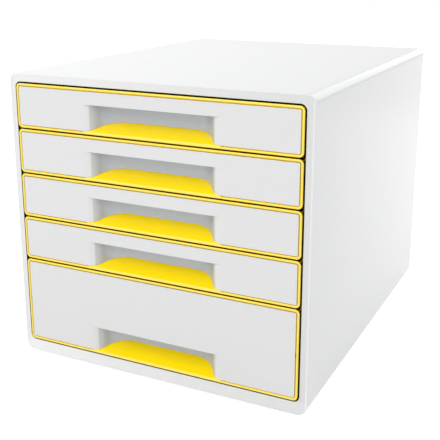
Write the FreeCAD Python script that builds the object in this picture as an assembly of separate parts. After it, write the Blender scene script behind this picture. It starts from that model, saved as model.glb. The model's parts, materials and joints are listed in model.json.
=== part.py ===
import FreeCAD, Part
import math
import os
from FreeCAD import Vector

# Desktop drawer unit: a moulded case with four low drawers over one tall drawer.
# Millimetres. X to the right seen from the front, Y towards the back, Z up.
# The origin is on the surface that the feet stand on, at the middle of the footprint.

os.makedirs("parts", exist_ok=True)

# Outer case
case_width = 287.0
case_depth = 361.8
case_wall = 2.5
case_edge_radius = 8.0
case_front_radius = 1.2
case_rear_chamfer = 1.0
front_flange = 3.0
side_rim = 6.35
top_rim = 7.7
bottom_rim = 11.7
opening_radius = 5.4
opening_edge_chamfer = 0.2
floor_rib_spacing = 70.0
floor_rib_width = 2.0
floor_rib_height = 7.0

# Drawer stack, counted from the top
small_drawers = 4
small_pitch = 41.2
large_pitch = 82.4
front_gap = 1.4
side_gap = 1.4
front_proud = 1.2

# Bead frame round each drawer front
bead_width = 1.9
bead_corner_radius = 4.0
bead_edge_chamfer = 0.55
frame_depth = 8.0
web_thickness = 2.0
web_side_border = 7.0
web_bottom_border = 7.0
web_top_border = 4.1

# Front panel inside the bead
panel_inset = 0.2
panel_wall = 2.4
panel_groove = 0.9
panel_corner_radius = 1.0

# Handle recess, measured from the panel face and from the bottom of the front.
# The roll share is how much of each side's S belongs to the roll at the panel face.
recess_depth = 19.0
recess_front_half = 65.8
recess_back_half = 33.2
recess_roll_share = 0.325
recess_height = 25.8
recess_undercut = 5.0

# Grip tongue that closes the recess from below
tongue_lip_height = 2.6
tongue_back_height = 9.5
tongue_thickness = 2.3
tongue_lip_radius = 1.8
tongue_seam = 0.2
web_notch_clearance = 1.0

# Drawer tray
tray_wall = 2.0
tray_fit = 0.2
tray_side_clearance = 5.7
tray_rear_clearance = 6.3
tray_pocket_clearance = 0.4
tray_corner_radius = 6.0
tray_bottom_chamfer = 2.0
tray_inside_chamfer = 1.5
tray_flange_thickness = 2.0
tray_flange_start = 1.5
lug_length = 10.0
lug_height = 3.7
held_length = 98.0

# Runner panels
runner_wall = 2.0
runner_setback = 0.3
runner_rib_width = 2.0
runner_clearance = 0.3
runner_front_clearance = 1.0
flange_side_clearance = 0.8
ledge_thickness = 2.3
ledge_side_clearance = 0.9
guard_thickness = 1.6
guard_reach = 3.8
stop_length = 4.0
stop_clearance = 0.5
stop_side_clearance = 1.3
runner_seat_height = 5.7

# Back panel
back_inset = 3.0
back_wall = 2.2
back_clearance = 0.3
back_ribs = 3
back_rib_depth = 3.0
back_rib_width = 2.0
catch_length = 10.0
catch_height = 1.2
catch_depth = 2.0
catch_clearance = 0.1
catch_offset_x = 70.0
catch_offset_z = 66.0

# Rubber feet
foot_radius = 8.0
foot_height = 2.0
foot_seat_depth = 0.8
foot_edge_chamfer = 0.5
foot_inset_x = 24.0
foot_inset_y = 28.0

# How far a cutting block runs past what it cuts, how deep a rib's root sinks into a wall,
# and how near two places are when they count as one
cut_margin = 1.0
root_depth = 0.5
same_place = 1e-4

# Places worked out from the sizes above
case_height = bottom_rim + small_drawers * small_pitch + large_pitch + front_gap + top_rim
case_low = foot_height
case_high = case_low + case_height
case_half = case_width / 2
opening_half = case_half - side_rim
opening_low = case_low + bottom_rim
opening_high = case_high - top_rim

crest_y = -(case_depth + front_proud) / 2
case_front = crest_y + front_proud
case_back = case_front + case_depth
cavity_front = case_front + front_flange
panel_face = crest_y + panel_inset
panel_back = panel_face + panel_wall
web_back = panel_back + web_thickness
frame_back = crest_y + frame_depth
back_outer = case_back - back_inset
back_inner = back_outer - back_wall

front_half = opening_half - side_gap
bead_inner_half = front_half - bead_width
panel_half = bead_inner_half - panel_groove
plate_half = bead_inner_half - tray_fit
bead_hole_radius = bead_corner_radius - bead_width
plate_corner_radius = bead_hole_radius - tray_fit
tray_half = opening_half - tray_side_clearance
tray_front = web_back
tray_rear = back_inner - tray_rear_clearance

runner_inner = opening_half + runner_setback
runner_outer = runner_inner + runner_wall
runner_low = case_low + case_wall + runner_seat_height
runner_high = case_high - case_wall - runner_seat_height
ledge_front = frame_back + runner_front_clearance
ledge_inner = tray_half + ledge_side_clearance
flange_outer = runner_inner - flange_side_clearance
stop_back = ledge_front + stop_length
lug_front = tray_rear - held_length
drawer_travel = lug_front - stop_back - stop_clearance

tongue_slope = (tongue_back_height - tongue_lip_height) / (panel_inset + recess_depth)

# Each side of the recess is an S of two arcs that turn by the same angle
recess_side_run = recess_front_half - recess_back_half
recess_radii = (recess_side_run**2 + recess_depth**2) / (2 * recess_depth)
recess_turn = 2 * math.atan2(recess_depth, recess_side_run)
roll_radius = recess_roll_share * recess_radii
corner_radius = recess_radii - roll_radius

# Bottom and top of each drawer front, from the top drawer down
fronts = []
joint_z = opening_high - front_gap / 2
for pitch in [small_pitch] * small_drawers + [large_pitch]:
    fronts.append((joint_z - pitch + front_gap / 2, joint_z - front_gap / 2))
    joint_z = joint_z - pitch


def box(x_low, x_high, y_low, y_high, z_low, z_high):
    return Part.makeBox(x_high - x_low, y_high - y_low, z_high - z_low, Vector(x_low, y_low, z_low))


# A box on one side of the unit, between two distances from the middle plane
def side_box(side, x_near, x_far, y_low, y_high, z_low, z_high):
    ends = sorted((side * x_near, side * x_far))
    return box(ends[0], ends[1], y_low, y_high, z_low, z_high)


# True where an edge lies along one axis from end to end
def runs_along(edge, axis):
    size = edge.BoundBox
    lengths = {"x": size.XLength, "y": size.YLength, "z": size.ZLength}
    own = lengths.pop(axis)
    return own > same_place and max(lengths.values()) < same_place


def edges_at_y(shape, y):
    found = []
    for edge in shape.Edges:
        size = edge.BoundBox
        if abs(size.YMin - y) < same_place and abs(size.YMax - y) < same_place:
            found.append(edge)
    return found


# A rectangle in the front view with round corners, carried back along Y
def rounded_slab(half_width, z_low, z_high, radius, y_low, y_high):
    slab = box(-half_width, half_width, y_low, y_high, z_low, z_high)
    return slab.makeFillet(radius, [e for e in slab.Edges if runs_along(e, "y")])


# A prism from a closed outline, given as points, along one direction
def prism(points, direction):
    return Part.Face(Part.makePolygon(points + points[:1])).extrude(direction)


# An arc in plan about a centre. Its angles turn from +Y towards +X on the right, mirrored on the left.
def plan_arc(side, center_x, center_y, radius, start, end):
    points = []
    for angle in (start, (start + end) / 2, end):
        x = side * (center_x + radius * math.sin(angle))
        points.append(Vector(x, center_y + radius * math.cos(angle), 0))
    return Part.Arc(points[0], points[1], points[2]).toShape()


# One side of the handle recess in plan. It rolls off the panel face, swings back and
# lies along the back wall. A grown side is the same S offset to the rear, which keeps the wall even.
def recess_side(side, grow):
    roll = plan_arc(
        side, recess_front_half, panel_face + roll_radius, roll_radius - grow, math.pi, math.pi + recess_turn
    )
    corner_y = panel_face + recess_depth - corner_radius
    corner = plan_arc(side, recess_back_half, corner_y, corner_radius + grow, recess_turn, 0)
    return [roll, corner]


def plan_line(x1, y1, x2, y2):
    return Part.makeLine(Vector(x1, y1, 0), Vector(x2, y2, 0))


def standing_prism(edges, z_low, z_high):
    wire = Part.Wire(Part.__sortEdges__(edges))
    face = Part.Face(wire)
    face.translate(Vector(0, 0, z_low))
    return face.extrude(Vector(0, 0, z_high - z_low))


# The room that the recess takes in plan, grown by a wall or a clearance, open to y_open in front
def recess_block(grow, y_open, z_low, z_high):
    y_front = panel_face + grow
    y_back = y_front + recess_depth
    edges = recess_side(-1, grow) + recess_side(1, grow)
    edges.append(plan_line(-recess_back_half, y_back, recess_back_half, y_back))
    for side in (-1, 1):
        x = side * recess_front_half
        edges.append(plan_line(x, y_front, x, y_open))
    edges.append(plan_line(-recess_front_half, y_open, recess_front_half, y_open))
    return standing_prism(edges, z_low, z_high)


# A profile in the side view, points as (y, z), carried across the unit
def cross_prism(profile, half_width):
    points = [Vector(-half_width, y, z) for y, z in profile]
    return prism(points, Vector(2 * half_width, 0, 0))


def tongue_top(front_low, y):
    return front_low + tongue_lip_height + tongue_slope * (y - crest_y)


def make_outer_case():
    shell = rounded_slab(case_half, case_low, case_high, case_edge_radius, case_front, case_back)
    shell = shell.makeFillet(case_front_radius, edges_at_y(shell, case_front))
    shell = shell.makeChamfer(case_rear_chamfer, edges_at_y(shell, case_back))
    cavity = rounded_slab(
        case_half - case_wall,
        case_low + case_wall,
        case_high - case_wall,
        case_edge_radius - case_wall,
        cavity_front,
        case_back + cut_margin,
    )
    opening = rounded_slab(
        opening_half,
        opening_low,
        opening_high,
        opening_radius,
        case_front - cut_margin,
        cavity_front + cut_margin,
    )
    case = shell.cut(cavity).cut(opening)
    case = case.makeChamfer(opening_edge_chamfer, opening_edges(case))
    case = case.fuse(runner_seats() + floor_ribs() + back_catches())
    for x, y in foot_places():
        seat = Part.makeCylinder(foot_radius, foot_seat_depth, Vector(x, y, case_low))
        case = case.cut(seat)
    return case.removeSplitter()


# The front edges of the case that lie round the drawer opening
def opening_edges(case):
    found = []
    for edge in edges_at_y(case, case_front):
        size = edge.BoundBox
        if max(abs(size.XMin), abs(size.XMax)) < opening_half + same_place:
            if size.ZMin > opening_low - same_place and size.ZMax < opening_high + same_place:
                found.append(edge)
    return found


# Ribs that stand in the cavity's corners and hold the runner panels by their edges
def runner_seats():
    ribs = []
    y_low = cavity_front - front_flange / 2
    low = case_low + case_wall / 2
    high = case_high - case_wall / 2
    for side in (-1, 1):
        ribs.append(side_box(side, runner_inner, runner_outer, y_low, back_inner, low, runner_low))
        ribs.append(side_box(side, runner_inner, runner_outer, y_low, back_inner, runner_high, high))
    return ribs


def floor_ribs():
    ribs = []
    y_low = cavity_front - front_flange / 2
    low = case_low + case_wall / 2
    top = case_low + case_wall + floor_rib_height
    for x in (-floor_rib_spacing, 0, floor_rib_spacing):
        x_low = x - floor_rib_width / 2
        ribs.append(box(x_low, x_low + floor_rib_width, y_low, back_inner, low, top))
    return ribs


# Wedges on the inside of the rear rim that snap over the back panel
def back_catches():
    y_hook = back_outer + catch_clearance
    root = -case_wall / 2
    profile = [(0, root), (catch_depth, root), (catch_depth, 0), (0, catch_height)]
    middle_z = (case_low + case_high) / 2
    catches = []
    for side in (-1, 1):
        wall_x = side * (case_half - case_wall)
        for dz in (-catch_offset_z, catch_offset_z):
            z = middle_z + dz - catch_length / 2
            points = [Vector(wall_x - side * h, y_hook + d, z) for d, h in profile]
            catches.append(prism(points, Vector(0, 0, catch_length)))
        wall_z = case_high - case_wall if side > 0 else case_low + case_wall
        for dx in (-catch_offset_x, catch_offset_x):
            x = dx - catch_length / 2
            points = [Vector(x, y_hook + d, wall_z - side * h) for d, h in profile]
            catches.append(prism(points, Vector(catch_length, 0, 0)))
    return catches


def make_back_panel():
    half = case_half - case_wall - back_clearance
    low = case_low + case_wall + back_clearance
    high = case_high - case_wall - back_clearance
    radius = case_edge_radius - case_wall - back_clearance
    panel = rounded_slab(half, low, high, radius, back_inner, back_outer)
    spacing = (high - low) / (back_ribs + 1)
    rib_front = back_inner - back_rib_depth
    ribs = []
    for number in range(1, back_ribs + 1):
        z_low = low + number * spacing - back_rib_width / 2
        z_high = z_low + back_rib_width
        ribs.append(box(-tray_half, tray_half, rib_front, back_inner + root_depth, z_low, z_high))
    return panel.fuse(ribs).removeSplitter()


# The rib round the outer face of a runner panel, which reaches out to the case wall
def runner_edge_rib(side):
    case_inside = case_half - case_wall
    z_low = max(runner_low, case_low + case_edge_radius)
    z_high = min(runner_high, case_high - case_edge_radius)
    rib = side_box(side, runner_outer, case_inside, cavity_front, back_inner, z_low, z_high)
    inside = side_box(
        side,
        runner_outer,
        case_inside,
        cavity_front + runner_rib_width,
        back_inner - runner_rib_width,
        z_low + runner_rib_width,
        z_high - runner_rib_width,
    )
    return rib.cut(inside)


# One side liner: a skin with its edge rib, and a ledge, a guard and a stop for each drawer
def make_runner_panel(side):
    skin = side_box(side, runner_inner, runner_outer, cavity_front, back_inner, runner_low, runner_high)
    pieces = [runner_edge_rib(side)]
    guard_inner = runner_inner - guard_reach
    stop_inner = tray_half + stop_side_clearance
    for front_low, front_high in fronts:
        tray_high = front_high - bead_width - tray_fit
        ledge_high = tray_high - tray_flange_thickness - runner_clearance
        ledge_low = ledge_high - ledge_thickness
        ledge = (ledge_front, back_inner, ledge_low, ledge_high)
        pieces.append(side_box(side, ledge_inner, runner_inner, *ledge))
        guard_low = tray_high + runner_clearance
        guard = (ledge_front, back_inner, guard_low, guard_low + guard_thickness)
        pieces.append(side_box(side, guard_inner, runner_inner, *guard))
        stop_low = ledge_low - lug_height
        pieces.append(side_box(side, stop_inner, runner_inner, ledge_front, stop_back, stop_low, ledge_low))
    return skin.fuse(pieces).removeSplitter()


def foot_places():
    places = []
    for y in (case_front + foot_inset_y, case_back - foot_inset_y):
        for x in (-case_half + foot_inset_x, case_half - foot_inset_x):
            places.append((x, y))
    return places


def make_foot(x, y):
    foot = Part.makeCylinder(foot_radius, foot_height + foot_seat_depth, Vector(x, y, 0))
    ground_edge = [e for e in foot.Edges if e.BoundBox.ZMax < same_place]
    return foot.makeChamfer(foot_edge_chamfer, ground_edge)


# The yellow bead, its web behind the panel and the grip tongue, in one moulding
def make_front_frame(front_low, front_high):
    ring = rounded_slab(front_half, front_low, front_high, bead_corner_radius, crest_y, frame_back)
    inner_low = front_low + bead_width
    inner_high = front_high - bead_width
    hole_front = crest_y - cut_margin
    hole_back = frame_back + cut_margin
    hole = rounded_slab(bead_inner_half, inner_low, inner_high, bead_hole_radius, hole_front, hole_back)
    ring = ring.cut(hole)
    ring = ring.makeChamfer(bead_edge_chamfer, edges_at_y(ring, crest_y))
    web_half = bead_inner_half + root_depth
    web_low = inner_low - root_depth
    web_high = inner_high + root_depth
    web = box(-web_half, web_half, panel_back, web_back, web_low, web_high)
    cut_front = panel_back - cut_margin
    cut_back = web_back + cut_margin
    window_half = bead_inner_half - web_side_border
    window_low = inner_low + web_bottom_border
    window = box(-window_half, window_half, cut_front, cut_back, window_low, inner_high - web_top_border)
    notch_half = recess_front_half + web_notch_clearance
    notch = box(-notch_half, notch_half, cut_front, cut_back, inner_low, window_low + cut_margin)
    web = web.cut(window).cut(notch)
    return ring.fuse([web, make_tongue(front_low)]).removeSplitter()


# The grip tongue: a wedge with a round lip, whose outline in plan follows the recess wall
def make_tongue(front_low):
    y_back = panel_back + recess_depth
    under_front = tongue_top(front_low, frame_back) - tongue_thickness
    under_back = tongue_top(front_low, y_back) - tongue_thickness
    profile = [
        (crest_y, front_low),
        (frame_back, front_low),
        (frame_back, under_front),
        (y_back, under_back),
        (y_back, tongue_top(front_low, y_back)),
        (crest_y, tongue_top(front_low, crest_y)),
    ]
    wedge = cross_prism(profile, recess_front_half + cut_margin)
    wedge = wedge.makeChamfer(bead_edge_chamfer, lip_edges(wedge)[:1])
    wedge = wedge.makeFillet(tongue_lip_radius, lip_edges(wedge)[-1:])
    plan = recess_block(panel_wall, crest_y - cut_margin, front_low - cut_margin, front_low + recess_height)
    return wedge.common(plan)


# The edges of the tongue's wedge that lie across its lip, from the lowest up
def lip_edges(wedge):
    across = [e for e in edges_at_y(wedge, crest_y) if runs_along(e, "x")]
    return sorted(across, key=lambda e: e.BoundBox.ZMin)


# The white panel: a plate whose face rolls back into the handle recess
def make_front_panel(front_low, front_high):
    plate_low = front_low + bead_width + panel_groove
    plate_high = front_high - bead_width - panel_groove
    recess_top = front_low + recess_height
    hood_inside = recess_top + recess_undercut
    hood_top = hood_inside + panel_wall
    y_inside = panel_face + recess_depth
    y_outside = panel_back + recess_depth
    band_edges = [
        plan_line(-recess_back_half, y_inside, recess_back_half, y_inside),
        plan_line(-recess_back_half, y_outside, recess_back_half, y_outside),
    ]
    for side in (-1, 1):
        band_edges = band_edges + recess_side(side, 0) + recess_side(side, panel_wall)
        x_roll = side * recess_front_half
        x_end = side * panel_half
        band_edges.append(plan_line(x_roll, panel_face, x_end, panel_face))
        band_edges.append(plan_line(x_end, panel_face, x_end, panel_back))
        band_edges.append(plan_line(x_end, panel_back, x_roll, panel_back))
    band = standing_prism(band_edges, plate_low, recess_top)
    plate = box(-panel_half, panel_half, panel_face, panel_back, recess_top, plate_high)
    hood = recess_block(panel_wall, panel_back - root_depth, recess_top, hood_top)
    room = recess_block(0, panel_face - cut_margin, recess_top - cut_margin, hood_inside)
    behind_plate = box(-panel_half, panel_half, panel_back, y_outside, plate_low, hood_top)
    panel = band.fuse([plate, hood.cut(room.common(behind_plate))]).removeSplitter()
    y_behind = y_outside + cut_margin
    outline = rounded_slab(panel_half, plate_low, plate_high, panel_corner_radius, panel_face, y_behind)
    below_tongue = [
        (crest_y, front_low),
        (y_behind, front_low),
        (y_behind, tongue_top(front_low, y_behind) + tongue_seam),
        (crest_y, tongue_top(front_low, crest_y) + tongue_seam),
    ]
    panel = panel.common(outline).cut(cross_prism(below_tongue, recess_front_half + tongue_seam))
    return panel.removeSplitter()


# A block with round rear corners, for the tray's outside and its inside
def tray_form(half, y_low, y_high, z_low, z_high, radius):
    form = box(-half, half, y_low, y_high, z_low, z_high)
    rear = [e for e in form.Edges if runs_along(e, "z") and e.BoundBox.YMax > y_high - same_place]
    return form.makeFillet(radius, rear)


# The bottom edges of a tray form along its sides and its rear
def bottom_edges(form):
    size = form.BoundBox
    found = []
    for edge in form.Edges:
        if edge.BoundBox.ZMax < size.ZMin + same_place and edge.BoundBox.YMax > size.YMin + same_place:
            found.append(edge)
    return found


def make_tray(front_low, front_high):
    low = front_low + bead_width + tray_fit
    high = front_high - bead_width - tray_fit
    body = tray_form(tray_half, tray_front, tray_rear, low, high, tray_corner_radius)
    body = body.makeChamfer(tray_bottom_chamfer, bottom_edges(body))
    wall_back = tray_front + tray_wall
    pieces = [rounded_slab(plate_half, low, high, plate_corner_radius, tray_front, wall_back)]
    flange_front = frame_back + tray_flange_start
    flange_low = high - tray_flange_thickness
    root = tray_half - tray_wall / 2
    lug_high = flange_low - runner_clearance - ledge_thickness - runner_clearance
    lug_low = lug_high - lug_height
    lug_outer = runner_inner - stop_side_clearance
    lug_back = lug_front + lug_length
    for side in (-1, 1):
        pieces.append(side_box(side, root, flange_outer, flange_front, tray_rear, flange_low, high))
        pieces.append(side_box(side, root, lug_outer, lug_front, lug_back, lug_low, lug_high))
    pocket_grow = panel_wall + tray_pocket_clearance
    pocket_top = front_low + recess_height + recess_undercut + pocket_grow
    pocket = recess_block(pocket_grow, crest_y, low - cut_margin, pocket_top)
    inside = tray_form(
        tray_half - tray_wall,
        wall_back,
        tray_rear - tray_wall,
        low + tray_wall,
        high + cut_margin,
        tray_corner_radius - tray_wall,
    )
    inside = inside.makeChamfer(tray_inside_chamfer, bottom_edges(inside))
    bump = recess_block(pocket_grow + tray_wall, crest_y, low - cut_margin, pocket_top + tray_wall)
    return body.fuse(pieces).cut(pocket).cut(inside.cut(bump)).removeSplitter()


def save(name, shape):
    shape.exportStep("parts/" + name + ".step")
    print(name, "solids", len(shape.Solids), "valid", shape.isValid(), "volume", round(shape.Volume))


save("outer_case", make_outer_case())
save("back_panel", make_back_panel())
save("runner_panel_left", make_runner_panel(-1))
save("runner_panel_right", make_runner_panel(1))
foot_names = ["foot_front_left", "foot_front_right", "foot_rear_left", "foot_rear_right"]
for name, (x, y) in zip(foot_names, foot_places()):
    save(name, make_foot(x, y))
for number, (front_low, front_high) in enumerate(fronts, 1):
    save("drawer_%d_tray" % number, make_tray(front_low, front_high))
    save("drawer_%d_front_frame" % number, make_front_frame(front_low, front_high))
    save("drawer_%d_front_panel" % number, make_front_panel(front_low, front_high))
print("overall height", case_high, "drawer travel", round(drawer_travel, 3))
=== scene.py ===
import json
import math
import bpy
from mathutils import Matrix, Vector


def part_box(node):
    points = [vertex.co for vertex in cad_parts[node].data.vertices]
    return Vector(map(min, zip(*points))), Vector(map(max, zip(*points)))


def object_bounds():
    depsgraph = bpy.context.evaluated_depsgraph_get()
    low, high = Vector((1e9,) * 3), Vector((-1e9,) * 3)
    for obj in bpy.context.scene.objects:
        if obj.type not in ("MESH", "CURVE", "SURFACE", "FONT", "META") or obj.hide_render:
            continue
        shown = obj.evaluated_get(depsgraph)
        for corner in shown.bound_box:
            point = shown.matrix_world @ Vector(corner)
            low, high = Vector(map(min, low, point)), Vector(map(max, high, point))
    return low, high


# Desktop drawer unit: the finish of its mouldings, plain studio light and the photograph's view.
# Metres, in the frame's own axes: X to the right seen from the front, Y towards the back, Z up.

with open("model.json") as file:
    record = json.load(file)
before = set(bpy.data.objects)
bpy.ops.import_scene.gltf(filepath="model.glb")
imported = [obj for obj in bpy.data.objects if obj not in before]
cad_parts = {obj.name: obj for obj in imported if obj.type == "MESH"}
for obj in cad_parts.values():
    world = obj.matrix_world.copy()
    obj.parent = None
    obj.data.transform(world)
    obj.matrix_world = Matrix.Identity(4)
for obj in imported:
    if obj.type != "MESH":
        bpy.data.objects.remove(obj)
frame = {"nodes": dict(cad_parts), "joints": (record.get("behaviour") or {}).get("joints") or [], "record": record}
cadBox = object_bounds()
nodes = frame["nodes"]
drawerCount = len(frame["joints"])
print("frame loaded:", len(nodes), "nodes,", drawerCount, "drawers")


# One shader socket. Sums and products of wires and numbers add Math nodes to the same tree.
class Wire:
    def __init__(self, tree, socket):
        self.tree = tree
        self.socket = socket

    # Any node: its type, its settings first, then the numbers or wires of its inputs
    def node(self, kind, settings=None, inputs=None, out=0):
        made = self.tree.nodes.new("ShaderNode" + kind)
        for key, value in (settings or {}).items():
            if key == "stops":
                setStops(made.color_ramp, value)
            else:
                setattr(made, key, value)
        for key, value in (inputs or {}).items():
            if isinstance(value, Wire):
                self.tree.links.new(value.socket, made.inputs[key])
            else:
                made.inputs[key].default_value = value
        return Wire(self.tree, made.outputs[out])

    def maths(self, operation, first, second):
        return self.node("Math", {"operation": operation}, {0: first, 1: second})

    def __add__(self, other):
        return self.maths("ADD", self, other)

    __radd__ = __add__

    def __sub__(self, other):
        return self.maths("SUBTRACT", self, other)

    def __rsub__(self, other):
        return self.maths("SUBTRACT", other, self)

    def __mul__(self, other):
        return self.maths("MULTIPLY", self, other)

    __rmul__ = __mul__

    # One number of a vector wire: "X", "Y" or "Z"
    def axis(self, letter):
        return self.node("SeparateXYZ", {}, {0: self}, "XYZ".index(letter))

    # Goes from 0 to 1 while this wire goes from low to high, and stays level outside
    def ramp(self, low, high):
        return self.node("MapRange", {}, {0: self, 1: low, 2: high, 3: 0.0, 4: 1.0})

    # Colour that goes from low to high as this wire goes from 0 to 1
    def between(self, low, high):
        return self.node("Mix", {"data_type": "RGBA"}, {0: self, 6: low, 7: high}, 2)

    # This colour times another one
    def dyed(self, other):
        settings = {"data_type": "RGBA", "blend_type": "MULTIPLY"}
        return self.node("Mix", settings, {0: 1.0, 6: self, 7: other}, 2)


def setStops(ramp, stops):
    while len(ramp.elements) < len(stops):
        ramp.elements.new(1.0)
    for element, (place, value) in zip(ramp.elements, stops):
        element.position = place
        element.color = (value, value, value, 1.0)


# A new material: its tree's shader, and a wire that carries the Object coordinates
def newFinish(name):
    material = bpy.data.materials.new(name)
    material.use_nodes = True
    tree = material.node_tree
    shader = tree.nodes["Principled BSDF"]
    coordinates = tree.nodes.new("ShaderNodeTexCoord")
    return material, shader, Wire(tree, coordinates.outputs["Object"])


def feed(shader, socket, wire):
    wire.tree.links.new(wire.socket, shader.inputs[socket])


plasticValues = {
    "flowDetail": 3.0, "polishDetail": 4.0, "waveDetail": 1.0, "grainDetail": 2.0,
    "ior": 1.49,
}


def noiseInputs(place, values, name):
    return {"Vector": place, "Scale": values[name + "Scale"], "Detail": plasticValues[name + "Detail"]}


# Moulded plastic. Colour drifts a little with the melt's flow, roughness follows the polish
# of the tool, and the bump is a slow waviness plus the fine grain of the mould's surface.
# A shading function, where there is one, paints light and shade into that colour from place to
# place, and a glow function adds painted light as the plastic's own emission.
def mouldedPlastic(values, paintedShading=None, glow=None):
    material, shader, place = newFinish(values["name"])
    flow = place.node("TexNoise", {}, noiseInputs(place, values, "flow"))
    plain = flow.between(values["shade"], values["tint"])
    feed(shader, "Base Color", paintedShading(plain, place, values) if paintedShading else plain)
    polish = place.node("TexNoise", {}, noiseInputs(place, values, "polish"))
    least = values["rough"] - values["roughSpread"] / 2
    feed(shader, "Roughness", polish * values["roughSpread"] + least)
    wave = place.node("TexNoise", {}, noiseInputs(place, values, "wave"))
    grain = place.node("TexNoise", {}, noiseInputs(place, values, "grain"))
    height = wave * values["waveHeight"] + grain * values["grainHeight"]
    bump = place.node("Bump", {}, {"Height": height, "Strength": 1.0, "Distance": 1.0})
    feed(shader, "Normal", bump)
    # Painted light: the glow is an emission on the plastic, not a lamp
    if glow:
        feed(shader, "Emission Color", glow(place, values))
        shader.inputs["Emission Strength"].default_value = 1.0
    shader.inputs["IOR"].default_value = plasticValues["ior"]
    shader.inputs["Specular IOR Level"].default_value = values["shine"]
    return material


def colour(red, green, blue):
    return (red, green, blue, 1.0)


# 1 where a coordinate lies between two places, fading to 0 over a soft edge outside them
def within(coordinate, low, high, soft):
    return coordinate.ramp(low - soft, low) * coordinate.ramp(high + soft, high)


# Both finishes that paint shade into the gap round a drawer front find it by how open a place is: the share
# of nearby directions that meet nothing within the reach.
gapValues = {"reach": 0.005, "rays": 8, "freeShares": (0.64, 0.92)}


# 1 inside a gap a few millimetres wide, 0 in the open. An opened drawer's edges come out of it.
def insideGap(place, values):
    reach = {"Distance": values["reach"]}
    free = place.node("AmbientOcclusion", {"samples": values["rays"]}, reach, 1)
    return 1 - free.ramp(*values["freeShares"])


# Painted light and shade on the case: painted shade makes it a shade duller on its left rim and
# towards its right side, which lightens to the rear behind a painted highlight on the front corner.
# Its sill has painted light from the floor, and the thin edge of its opening has painted shade beside a drawer
# front.
def casePaintedShading(plain, place, values):
    white = colour(1, 1, 1)
    soft = values["soft"]
    across, along = place.axis("X"), place.axis("Y")
    start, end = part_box("outer_case")
    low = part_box("drawer_%d_front_frame" % drawerCount)[0] - Vector((values["gap"],) * 3)
    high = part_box("drawer_1_front_frame")[1] + Vector((values["gap"],) * 3)
    opening = within(across, low.x, high.x, soft) * within(place.axis("Z"), low.z, high.z, soft)
    edge = opening * (along - start.y).ramp(0.0, 2 * soft) * insideGap(place, gapValues)
    rim = across.ramp(low.x, start.x + values["rimPlain"])
    side = across.ramp(end.x - values["cornerSize"], end.x)
    front = along.ramp(start.y + values["cornerSize"], start.y + values["cornerSize"] - soft)
    corner = front * across.ramp(end.x - values["cornerSize"], end.x - values["cornerSize"] + soft)
    sill = front * place.axis("Z").ramp(low.z, low.z - soft)
    # Painted shade to the right, on the left rim and the side's front; a painted highlight on the front corner;
    # painted light on the sill; painted shade at the opening's edge
    paintedShading = plain.dyed(across.ramp(start.x, end.x).between(white, values["rightTone"]))
    paintedShading = paintedShading.dyed(rim.between(white, values["rimTone"]))
    paintedShading = paintedShading.dyed(side.between(white, along.ramp(start.y, end.y).between(values["sideTone"], white)))
    paintedShading = paintedShading.dyed(corner.between(white, values["cornerTone"]))
    paintedShading = paintedShading.dyed(sill.between(white, values["sillTone"]))
    return paintedShading.dyed(edge.between(white, values["edgeTone"]))


def whiteCaseFinish():
    return mouldedPlastic({
        "name": "whiteCase",
        "shade": colour(0.740, 0.747, 0.749), "tint": colour(0.750, 0.756, 0.758), "flowScale": 4.0,
        # Painted shade and light: shades for the right, the side, the rim and the opening's edge, a highlight on
        # the front corner, light on the sill
        "rightTone": colour(0.86, 0.86, 0.86), "sideTone": colour(0.94, 0.94, 0.94),
        "rimPlain": 0.003, "rimTone": colour(0.94, 0.95, 0.96),
        "cornerSize": 0.0012, "cornerTone": colour(1.28, 1.28, 1.28), "sillTone": colour(1.08, 1.08, 1.08),
        "gap": 0.0014, "soft": 0.0002, "edgeTone": colour(0.06, 0.045, 0.02),
        "rough": 0.20, "roughSpread": 0.03, "polishScale": 20.0,
        "waveHeight": 0.00001, "waveScale": 14.0,
        "grainHeight": 0.000004, "grainScale": 2600.0,
        "shine": 0.5,
    }, casePaintedShading)


# Behind the panel's face the handle recess has painted shade, tinted blue-grey, from its roll to its back wall
def recessPaintedShade(plain, place, values):
    depth = place.axis("Y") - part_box("drawer_1_front_panel")[0].y
    share = depth.ramp(0.0, values["recessDepth"])
    # Painted shade that deepens into the recess
    paintedShade = place.node("ValToRGB", {"stops": values["duskStops"]}, {0: share})
    tint = share.ramp(*values["tintShares"]).between(colour(1, 1, 1), values["duskTint"])
    return plain.dyed(paintedShade).dyed(tint)


def whitePanelFinish():
    return mouldedPlastic({
        "name": "whitePanel",
        # Painted shade in the handle recess: how deep it reaches, its blue-grey tint and its stops
        "recessDepth": 0.019, "tintShares": (0.06, 0.60), "duskTint": colour(0.98, 1.09, 1.36),
        "duskStops": [(0.0, 1.0), (0.072, 1.0), (0.092, 0.77), (0.42, 0.67), (0.85, 0.80)],
        "shade": colour(0.664, 0.668, 0.667), "tint": colour(0.675, 0.679, 0.678), "flowScale": 5.0,
        "rough": 0.14, "roughSpread": 0.03, "polishScale": 20.0,
        "waveHeight": 0.00001, "waveScale": 14.0,
        "grainHeight": 0.000003, "grainScale": 2600.0,
        "shine": 0.5,
    }, recessPaintedShade)


def innerWhiteFinish():
    return mouldedPlastic({
        "name": "innerWhite",
        "shade": colour(0.70, 0.71, 0.71), "tint": colour(0.74, 0.75, 0.75), "flowScale": 7.0,
        "rough": 0.48, "roughSpread": 0.08, "polishScale": 25.0,
        "waveHeight": 0.00005, "waveScale": 18.0,
        "grainHeight": 0.00001, "grainScale": 1800.0,
        "shine": 0.45,
    })


# 1 inside the outline of every low front frame, 0 on the frames' outer flanks and round corners
def insideFrames(place, values):
    inset, soft = values["inset"], values["soft"]
    low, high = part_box("drawer_1_front_frame")
    pitch = low.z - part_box("drawer_2_front_frame")[0].z
    height = place.maths("FLOORED_MODULO", place.axis("Z") - (low.z - soft), pitch)
    inside = within(height, soft + inset, soft + high.z - low.z - inset, soft)
    return inside * within(place.axis("X"), low.x + inset, high.x - inset, soft)


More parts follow.
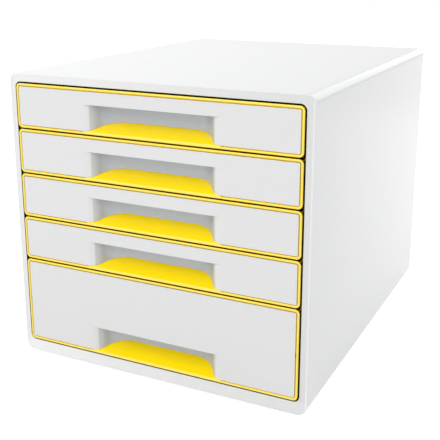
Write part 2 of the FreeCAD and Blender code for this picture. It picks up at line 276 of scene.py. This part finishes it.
# The bead has a painted highlight, paler along its crest, and painted shade darkens its outer flanks where they
# stand in the gap round their drawer front
def beadPaintedLight(plain, place, values):
    depth = place.axis("Y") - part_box("drawer_1_front_frame")[0].y
    # Painted highlight along the crest, then painted shade on the outer flanks in the gap
    crested = depth.ramp(values["crestEnd"], values["crestStart"]).between(plain, values["crest"])
    deep = depth.ramp(values["flankStart"], values["flankEnd"])
    dark = deep * (1 - insideFrames(place, values)) * insideGap(place, gapValues)
    return crested.dyed(dark.between(colour(1, 1, 1), values["flankTone"]))


# Painted light: the grip tongue, behind the bead, glows a little yellow as an emission
def tonguePaintedGlow(place, values):
    depth = place.axis("Y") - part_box("drawer_1_front_frame")[0].y
    deep = depth.ramp(values["glowStart"], values["glowEnd"])
    return (deep * insideFrames(place, values)).between(colour(0, 0, 0), values["glow"])


def yellowFrameFinish():
    return mouldedPlastic({
        "name": "yellowFrame",
        "shade": colour(1.0, 0.715, 0.001), "tint": colour(1.0, 0.735, 0.001), "flowScale": 12.0,
        "inset": 0.0012, "soft": 0.0003,
        # Painted shade on the flanks in the gap and a painted highlight on the crest
        "flankStart": 0.0007, "flankEnd": 0.0014, "flankTone": colour(0.08, 0.055, 0.03),
        "crest": colour(0.97, 0.76, 0.13), "crestStart": 0.0002, "crestEnd": 0.0007,
        "rough": 0.16, "roughSpread": 0.03, "polishScale": 20.0,
        "waveHeight": 0.00001, "waveScale": 30.0,
        "grainHeight": 0.000003, "grainScale": 2600.0,
        "shine": 0.22,
        # Painted light: the tongue's glow, an emission
        "glowStart": 0.0006, "glowEnd": 0.0030, "glow": colour(0.15, 0.106, 0.0),
    }, beadPaintedLight, tonguePaintedGlow)


def yellowTrayFinish():
    return mouldedPlastic({
        "name": "yellowTray",
        "shade": colour(0.90, 0.63, 0.006), "tint": colour(0.95, 0.68, 0.012), "flowScale": 9.0,
        "rough": 0.46, "roughSpread": 0.08, "polishScale": 25.0,
        "waveHeight": 0.00004, "waveScale": 18.0,
        "grainHeight": 0.00001, "grainScale": 1800.0,
        "shine": 0.45,
    })


def rubberFinish():
    return mouldedPlastic({
        "name": "footRubber",
        "shade": colour(0.030, 0.030, 0.031), "tint": colour(0.045, 0.045, 0.046), "flowScale": 60.0,
        "rough": 0.80, "roughSpread": 0.10, "polishScale": 90.0,
        "waveHeight": 0.00002, "waveScale": 120.0,
        "grainHeight": 0.00003, "grainScale": 1500.0,
        "shine": 0.3,
    })


# Each node takes the finish of the material slot that the record gives it
def dressNodes():
    finishes = {
        "case_white": whiteCaseFinish(),
        "panel_white": whitePanelFinish(),
        "inner_white": innerWhiteFinish(),
        "frame_yellow": yellowFrameFinish(),
        "tray_yellow": yellowTrayFinish(),
        "foot_rubber": rubberFinish(),
    }
    for part in frame["record"]["subparts"]:
        nodes[part["node"]].material_slots[0].material = finishes[part["material_slot"]]


dressNodes()
print("finishes set")

cameraValues = {
    "focalPixels": 813.9,
    "framePixels": 440,
    "sensor": 36.0,
    "place": (0.3411, -0.7473, 0.3661),
    "turn": 25.98,
    "tilt": 15.17,
    "shift": -0.09,
}


def makeCamera(values):
    data = bpy.data.cameras.new("camera")
    data.sensor_width = values["sensor"]
    data.lens = values["focalPixels"] / values["framePixels"] * values["sensor"]
    data.shift_y = values["shift"]
    camera = bpy.data.objects.new("camera", data)
    camera.location = values["place"]
    camera.rotation_euler = (math.radians(90 - values["tilt"]), 0, math.radians(values["turn"]))
    bpy.context.scene.collection.objects.link(camera)
    bpy.context.scene.camera = camera


# Each lamp stands at a bearing from the front, positive to the right, and a height angle
lampValues = {
    "front": {"bearing": -12, "height": 42, "distance": 1.5, "wide": 0.9, "tall": 0.9, "power": 6.3},
    "overhead": {"bearing": 0, "height": 75, "distance": 1.2, "wide": 1.2, "tall": 0.05, "power": 1.5},
    "edge": {"bearing": 161, "height": 20, "distance": 1.4, "wide": 0.8, "tall": 0.6, "power": 1.45},
    "rear": {"bearing": 125, "height": 15, "distance": 1.1, "wide": 0.9, "tall": 0.9, "power": 0.95},
}


# A flat lamp that faces the middle of the object
def makeLamp(name, values):
    data = bpy.data.lights.new(name, "AREA")
    data.shape = "RECTANGLE"
    data.size = values["wide"]
    data.size_y = values["tall"]
    data.energy = values["power"]
    lamp = bpy.data.objects.new(name, data)
    bearing = math.radians(values["bearing"])
    height = math.radians(values["height"])
    level = Vector((math.sin(bearing), -math.cos(bearing), 0)) * math.cos(height)
    away = level + Vector((0, 0, math.sin(height)))
    middle = (cadBox[0] + cadBox[1]) / 2
    lamp.location = middle + away * values["distance"]
    lamp.rotation_euler = away.to_track_quat("Z", "Y").to_euler()
    bpy.context.scene.collection.objects.link(lamp)


# 1 where the camera, a gloss or a glass looks, 0 for the light that falls on things
def seenShare(tree):
    path = tree.nodes.new("ShaderNodeLightPath")
    seen = Wire(tree, path.outputs["Is Camera Ray"])
    seen = seen.maths("MAXIMUM", seen, Wire(tree, path.outputs["Is Glossy Ray"]))
    return seen.maths("MAXIMUM", seen, Wire(tree, path.outputs["Is Transmission Ray"]))


worldValues = {"light": 0.88, "background": 1.0}


# White where it is looked at, and plain even light everywhere else
def makeWorld(values):
    world = bpy.data.worlds.new("studio")
    world.use_nodes = True
    bpy.context.scene.world = world
    tree = world.node_tree
    strength = seenShare(tree) * (values["background"] - values["light"]) + values["light"]
    tree.links.new(strength.socket, tree.nodes["Background"].inputs["Strength"])
    tree.nodes["Background"].inputs["Color"].default_value = (1.0, 1.0, 1.0, 1.0)


floorValues = {
    "half": 6.0,
    "paint": colour(0.80, 0.80, 0.80),
    "rough": 0.9,
    "lift": colour(0.68, 0.68, 0.68),
}


# A plain pale floor. Where it is looked at, a glow is added that lifts the lit paint to white,
# and the object's shadow stays.
def makeFloor(values):
    half = values["half"]
    mesh = bpy.data.meshes.new("floor")
    corners = [(-half, -half, 0), (half, -half, 0), (half, half, 0), (-half, half, 0)]
    mesh.from_pydata(corners, [], [(0, 1, 2, 3)])
    floor = bpy.data.objects.new("floor", mesh)
    bpy.context.scene.collection.objects.link(floor)
    material, shader, place = newFinish("floorPaint")
    shader.inputs["Base Color"].default_value = values["paint"]
    shader.inputs["Roughness"].default_value = values["rough"]
    feed(shader, "Emission Color", seenShare(place.tree).between(colour(0, 0, 0), values["lift"]))
    shader.inputs["Emission Strength"].default_value = 1.0
    mesh.materials.append(material)


makeCamera(cameraValues)
for lampName, values in lampValues.items():
    makeLamp(lampName, values)
makeWorld(worldValues)
makeFloor(floorValues)
bpy.context.scene.view_settings.view_transform = "Standard"
print("camera, lamps, world and floor set")
